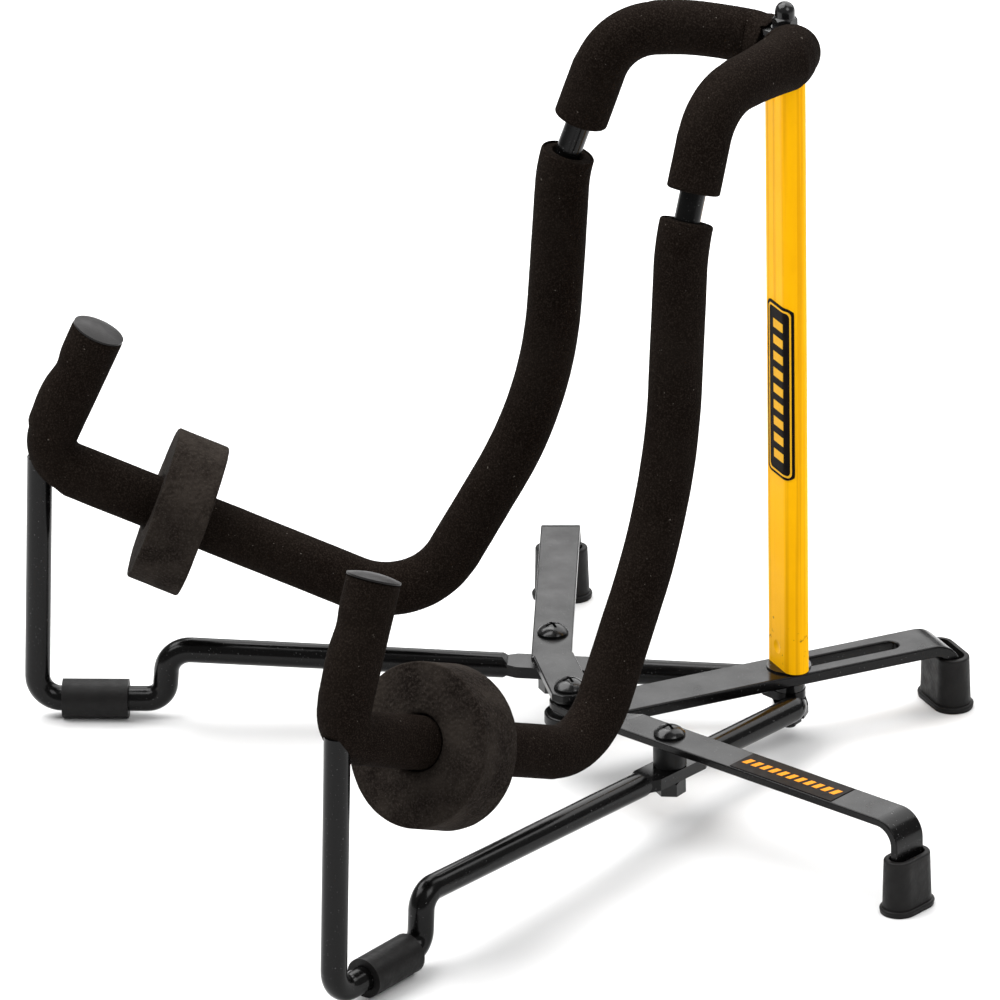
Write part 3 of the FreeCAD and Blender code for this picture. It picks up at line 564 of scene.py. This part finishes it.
class Material:
    """A Principled material built up from noise layers on object coordinates."""

    def __init__(self, name, color, roughness, specular=0.5):
        self.mat = bpy.data.materials.new(name)
        self.mat.use_nodes = True
        self.nodes = self.mat.node_tree.nodes
        self.links = self.mat.node_tree.links
        self.shader = self.nodes["Principled BSDF"]
        self.shader.inputs["Base Color"].default_value = (*color, 1)
        self.shader.inputs["Roughness"].default_value = roughness
        self.shader.inputs["Specular IOR Level"].default_value = specular
        self.place = self.nodes.new("ShaderNodeTexCoord").outputs["Object"]
        self.color = None
        self.normal = None

    def noise(self, scale, detail=3.0, rough=0.55):
        node = self.nodes.new("ShaderNodeTexNoise")
        node.inputs["Scale"].default_value = scale
        node.inputs["Detail"].default_value = detail
        node.inputs["Roughness"].default_value = rough
        self.links.new(self.place, node.inputs["Vector"])
        return node.outputs["Fac"]

    def streaks(self, scale):
        """Noise drawn out along Z."""
        node = self.nodes.new("ShaderNodeMapping")
        node.inputs["Scale"].default_value = (1, 1, STREAK_STRETCH)
        self.links.new(self.place, node.inputs["Vector"])
        grain = self.nodes.new("ShaderNodeTexNoise")
        grain.inputs["Scale"].default_value = scale
        self.links.new(node.outputs["Vector"], grain.inputs["Vector"])
        return grain.outputs["Fac"]

    def cells(self, scale):
        node = self.nodes.new("ShaderNodeTexVoronoi")
        node.inputs["Scale"].default_value = scale
        self.links.new(self.place, node.inputs["Vector"])
        return node.outputs["Distance"]

    def span(self, value, low, high, to_low=0.0, to_high=1.0):
        node = self.nodes.new("ShaderNodeMapRange")
        for name, number in (("From Min", low), ("From Max", high),
                             ("To Min", to_low), ("To Max", to_high)):
            node.inputs[name].default_value = number
        self.links.new(value, node.inputs["Value"])
        return node.outputs["Result"]

    def tint(self, factor, color):
        """Lays a second colour over the first by factor."""
        node = self.nodes.new("ShaderNodeMix")
        node.data_type = "RGBA"
        base = self.shader.inputs["Base Color"]
        if self.color is None:
            node.inputs["A"].default_value = base.default_value
        else:
            self.links.new(self.color, node.inputs["A"])
        node.inputs["B"].default_value = (*color, 1)
        self.links.new(factor, node.inputs["Factor"])
        self.color = node.outputs["Result"]
        self.links.new(self.color, base)

    def roughness(self, value, low, high):
        """Lets the roughness wander between two values."""
        wander = self.span(value, *NOISE_SPREAD, low, high)
        self.links.new(wander, self.shader.inputs["Roughness"])

    def bump(self, height, strength, distance):
        node = self.nodes.new("ShaderNodeBump")
        node.inputs["Strength"].default_value = strength
        node.inputs["Distance"].default_value = distance
        self.links.new(height, node.inputs["Height"])
        if self.normal is not None:
            self.links.new(self.normal, node.inputs["Normal"])
        self.normal = node.outputs["Normal"]
        self.links.new(self.normal, self.shader.inputs["Normal"])

    def band(self, low, high):
        """1 between two heights, in metres."""
        split = self.nodes.new("ShaderNodeSeparateXYZ")
        self.links.new(self.place, split.inputs["Vector"])
        rise = self.span(split.outputs["Z"], low - BAND_FADE, low)
        fall = self.span(split.outputs["Z"], high, high + BAND_FADE, 1.0, 0.0)
        return self.times(rise, fall)

    def times(self, a, b):
        node = self.nodes.new("ShaderNodeMath")
        node.operation = "MULTIPLY"
        self.links.new(a, node.inputs[0])
        self.links.new(b, node.inputs[1])
        return node.outputs["Value"]


def coat_material(name, color, low, high, peel):
    """Black powder coat: fine peel, uneven gloss and a few pale specks."""
    m = Material(name, color, low, 0.17)
    m.tint(m.span(m.noise(1500, 1.0), 0.72, 0.76), (0.07, 0.07, 0.07))
    m.roughness(m.noise(90), low, high)
    m.bump(m.noise(850, 2.0), peel, 0.0002)
    m.bump(m.noise(140, 2.0), 0.12, 0.0004)
    return m.mat


def foam_material():
    m = Material("foam_closed_cell", (0.0044, 0.0028, 0.0020), 0.9, 0.02)
    m.tint(m.span(m.noise(45), 0.35, 0.75, 0.0, 0.6), (0.0085, 0.0063, 0.0050))
    m.tint(m.span(m.noise(1700, 3.0, 0.7), 0.48, 0.68), (0.0200, 0.0152, 0.0122))
    m.tint(m.span(m.noise(760, 1.0), 0.77, 0.80), (0.085, 0.075, 0.065))
    m.bump(m.noise(1100, 4.0, 0.7), 0.75, 0.0005)
    m.bump(m.cells(1300), 0.25, 0.0003)
    m.bump(m.noise(160), 0.2, 0.0008)
    return m.mat


def sponge_material():
    m = Material("sponge_rubber", (0.0075, 0.0055, 0.0044), 0.9, 0.03)
    m.tint(m.span(m.noise(70), 0.38, 0.66, 0.0, 0.9), (0.0245, 0.0198, 0.0165))
    m.tint(m.span(m.noise(1600, 2.0), 0.62, 0.72, 0.0, 0.7), (0.050, 0.043, 0.037))
    m.tint(m.span(m.noise(1150, 3.0, 0.7), 0.46, 0.70, 0.0, 0.8), (0.031, 0.0255, 0.0215))
    m.bump(m.cells(520), 0.6, 0.0008)
    m.bump(m.noise(900, 4.0, 0.7), 0.7, 0.0006)
    return m.mat


def paint_material():
    m = Material("post_powder_coat", (0.98, 0.485, 0.002), 0.38, 0.025)
    m.tint(m.span(m.noise(60), 0.4, 0.7, 0.0, 0.35), (0.88, 0.41, 0.002))
    m.tint(m.times(m.span(m.noise(330, 3.0), 0.63, 0.72), m.band(0.032, 0.046)),
           (0.20, 0.075, 0.01))
    m.tint(m.span(m.streaks(420), 0.50, 0.62, 0.0, 0.6), (0.70, 0.30, 0.002))
    m.roughness(m.noise(110), 0.3, 0.42)
    m.bump(m.noise(600, 2.0), 0.14, 0.0004)
    return m.mat


def plastic_material(name, color, low, high, grain, depth, shine=0.15):
    m = Material(name, color, low, shine)
    m.tint(m.span(m.noise(200), 0.4, 0.7, 0.0, 0.6), tuple(1.6 * c for c in color))
    m.roughness(m.noise(260), low, high)
    m.bump(m.noise(grain, 2.0), depth, 0.0003)
    return m.mat


def print_material(name, color):
    m = Material(name, color, 0.45, 0.03)
    m.tint(m.span(m.noise(900), 0.5, 0.8, 0.0, 0.5), tuple(0.75 * c for c in color))
    m.roughness(m.noise(300), 0.4, 0.5)
    m.bump(m.noise(1200), 0.08, 0.0001)
    return m.mat


foam = foam_material()
sponge = sponge_material()
SLOT_MATERIALS = {
    "rod_coat": coat_material("rod_powder_coat", (0.0022, 0.0021, 0.0021), 0.14, 0.24, 0.05),
    "bar_coat": coat_material("bar_powder_coat", (0.0030, 0.0029, 0.0029), 0.17, 0.28, 0.06),
    "post_paint": paint_material(),
    "foam": foam,
    "sponge": sponge,
    "cap_plastic": plastic_material("cap_moulded", (0.013, 0.012, 0.012), 0.34, 0.46, 1400, 0.2,
                                    0.11),
    "foot_rubber": plastic_material("foot_moulded", (0.0060, 0.0056, 0.0055), 0.42, 0.58, 700, 0.35),
    "spacer_plastic": plastic_material("spacer_nylon", (0.009, 0.009, 0.009), 0.35, 0.5, 900, 0.15),
    "hardware_black": plastic_material("black_fixings", (0.006, 0.006, 0.006), 0.14, 0.28, 1000, 0.1,
                                       0.35),
    "badge_black": plastic_material("badge_plate", (0.006, 0.0045, 0.0045), 0.45, 0.55, 800, 0.05,
                                     0.02),
    "leg_print": plastic_material("leg_strip", (0.008, 0.0065, 0.006), 0.35, 0.45, 900, 0.05, 0.05),
}
for subpart in frame["record"]["subparts"]:
    node = frame["nodes"][subpart["node"]]
    node.data.materials.clear()
    node.data.materials.append(SLOT_MATERIALS[subpart["material_slot"]])

for side_name in SIDES:
    add_foam(side_name, foam)
    add_disc(side_name, sponge)
yellow_print = print_material("badge_yellow", (0.80, 0.42, 0.02))
add_badge_border(yellow_print)
add_badge_bars(yellow_print)
add_leg_dashes(print_material("leg_orange", (0.72, 0.26, 0.02)))


# ---------------------------------------------------------------- camera, light and floor
# distances and lamp sizes here are in metres, the lens and the sensor in millimetres
AZIMUTH = math.radians(65.83)
ELEVATION = math.radians(23.46)
ROLL = math.radians(-1.02)
DISTANCE = 3.836
TARGET = POST_AXIS + Vector((0.0066, -0.1189, 0.120))
SENSOR_WIDTH = 36.0
LENS = 381.6
LAMPS = (                      # name, across, above, towards the camera, size, watts
    ("key", -1.0, 2.1, -0.3, 2.4, 105.0),
    ("fill", 1.2, 0.9, 1.5, 1.1, 18.0),
    ("top", 0.6, 2.0, -1.2, 2.6, 62.0),
)
WORLD_STRENGTH = 0.3
FLOOR_HALF = 14.0


def camera_axes():
    """The camera's right, up and backward directions."""
    back = Vector((math.sin(AZIMUTH) * math.cos(ELEVATION),
                   -math.cos(AZIMUTH) * math.cos(ELEVATION), math.sin(ELEVATION)))
    level = Vector((math.cos(AZIMUTH), math.sin(AZIMUTH), 0))
    above = back.cross(level)
    right = math.cos(ROLL) * level + math.sin(ROLL) * above
    up = -math.sin(ROLL) * level + math.cos(ROLL) * above
    return right, up, back


def add_camera():
    right, up, back = camera_axes()
    data = bpy.data.cameras.new("view")
    data.sensor_width = SENSOR_WIDTH
    data.lens = LENS
    camera = bpy.data.objects.new("view", data)
    pose = Matrix((right, up, back)).transposed().to_4x4()
    pose.translation = TARGET + back * DISTANCE
    camera.matrix_world = pose
    bpy.context.scene.collection.objects.link(camera)
    bpy.context.scene.camera = camera


def add_area(name, across, above, towards, size, power):
    """A soft square lamp aimed at the object: to the camera's right, straight up, towards it."""
    right, up, back = camera_axes()
    data = bpy.data.lights.new(name, "AREA")
    data.size = size
    data.energy = power
    lamp = bpy.data.objects.new(name, data)
    place = right * across + UP * above + back * towards
    lamp.location = TARGET + place
    lamp.rotation_euler = place.to_track_quat("Z", "Y").to_euler()
    bpy.context.scene.collection.objects.link(lamp)


def add_floor():
    mesh = bpy.data.meshes.new("floor")
    half = FLOOR_HALF
    mesh.from_pydata([(-half, -half, 0), (half, -half, 0), (half, half, 0), (-half, half, 0)],
                     [], [(0, 1, 2, 3)])
    floor = bpy.data.objects.new("floor", mesh)
    m = Material("floor_pale", (0.72, 0.72, 0.72), 0.75, 0.1)
    m.tint(m.span(m.noise(2.0), 0.3, 0.7, 0.0, 0.3), (0.70, 0.70, 0.70))
    mesh.materials.append(m.mat)
    bpy.context.scene.collection.objects.link(floor)


def add_world():
    world = bpy.data.worlds.new("studio")
    world.use_nodes = True
    background = world.node_tree.nodes["Background"]
    background.inputs["Color"].default_value = (1, 1, 1, 1)
    background.inputs["Strength"].default_value = WORLD_STRENGTH
    bpy.context.scene.world = world
    bpy.context.scene.view_settings.view_transform = "Standard"


add_camera()
add_world()
add_floor()
for lamp_values in LAMPS:
    add_area(*lamp_values)
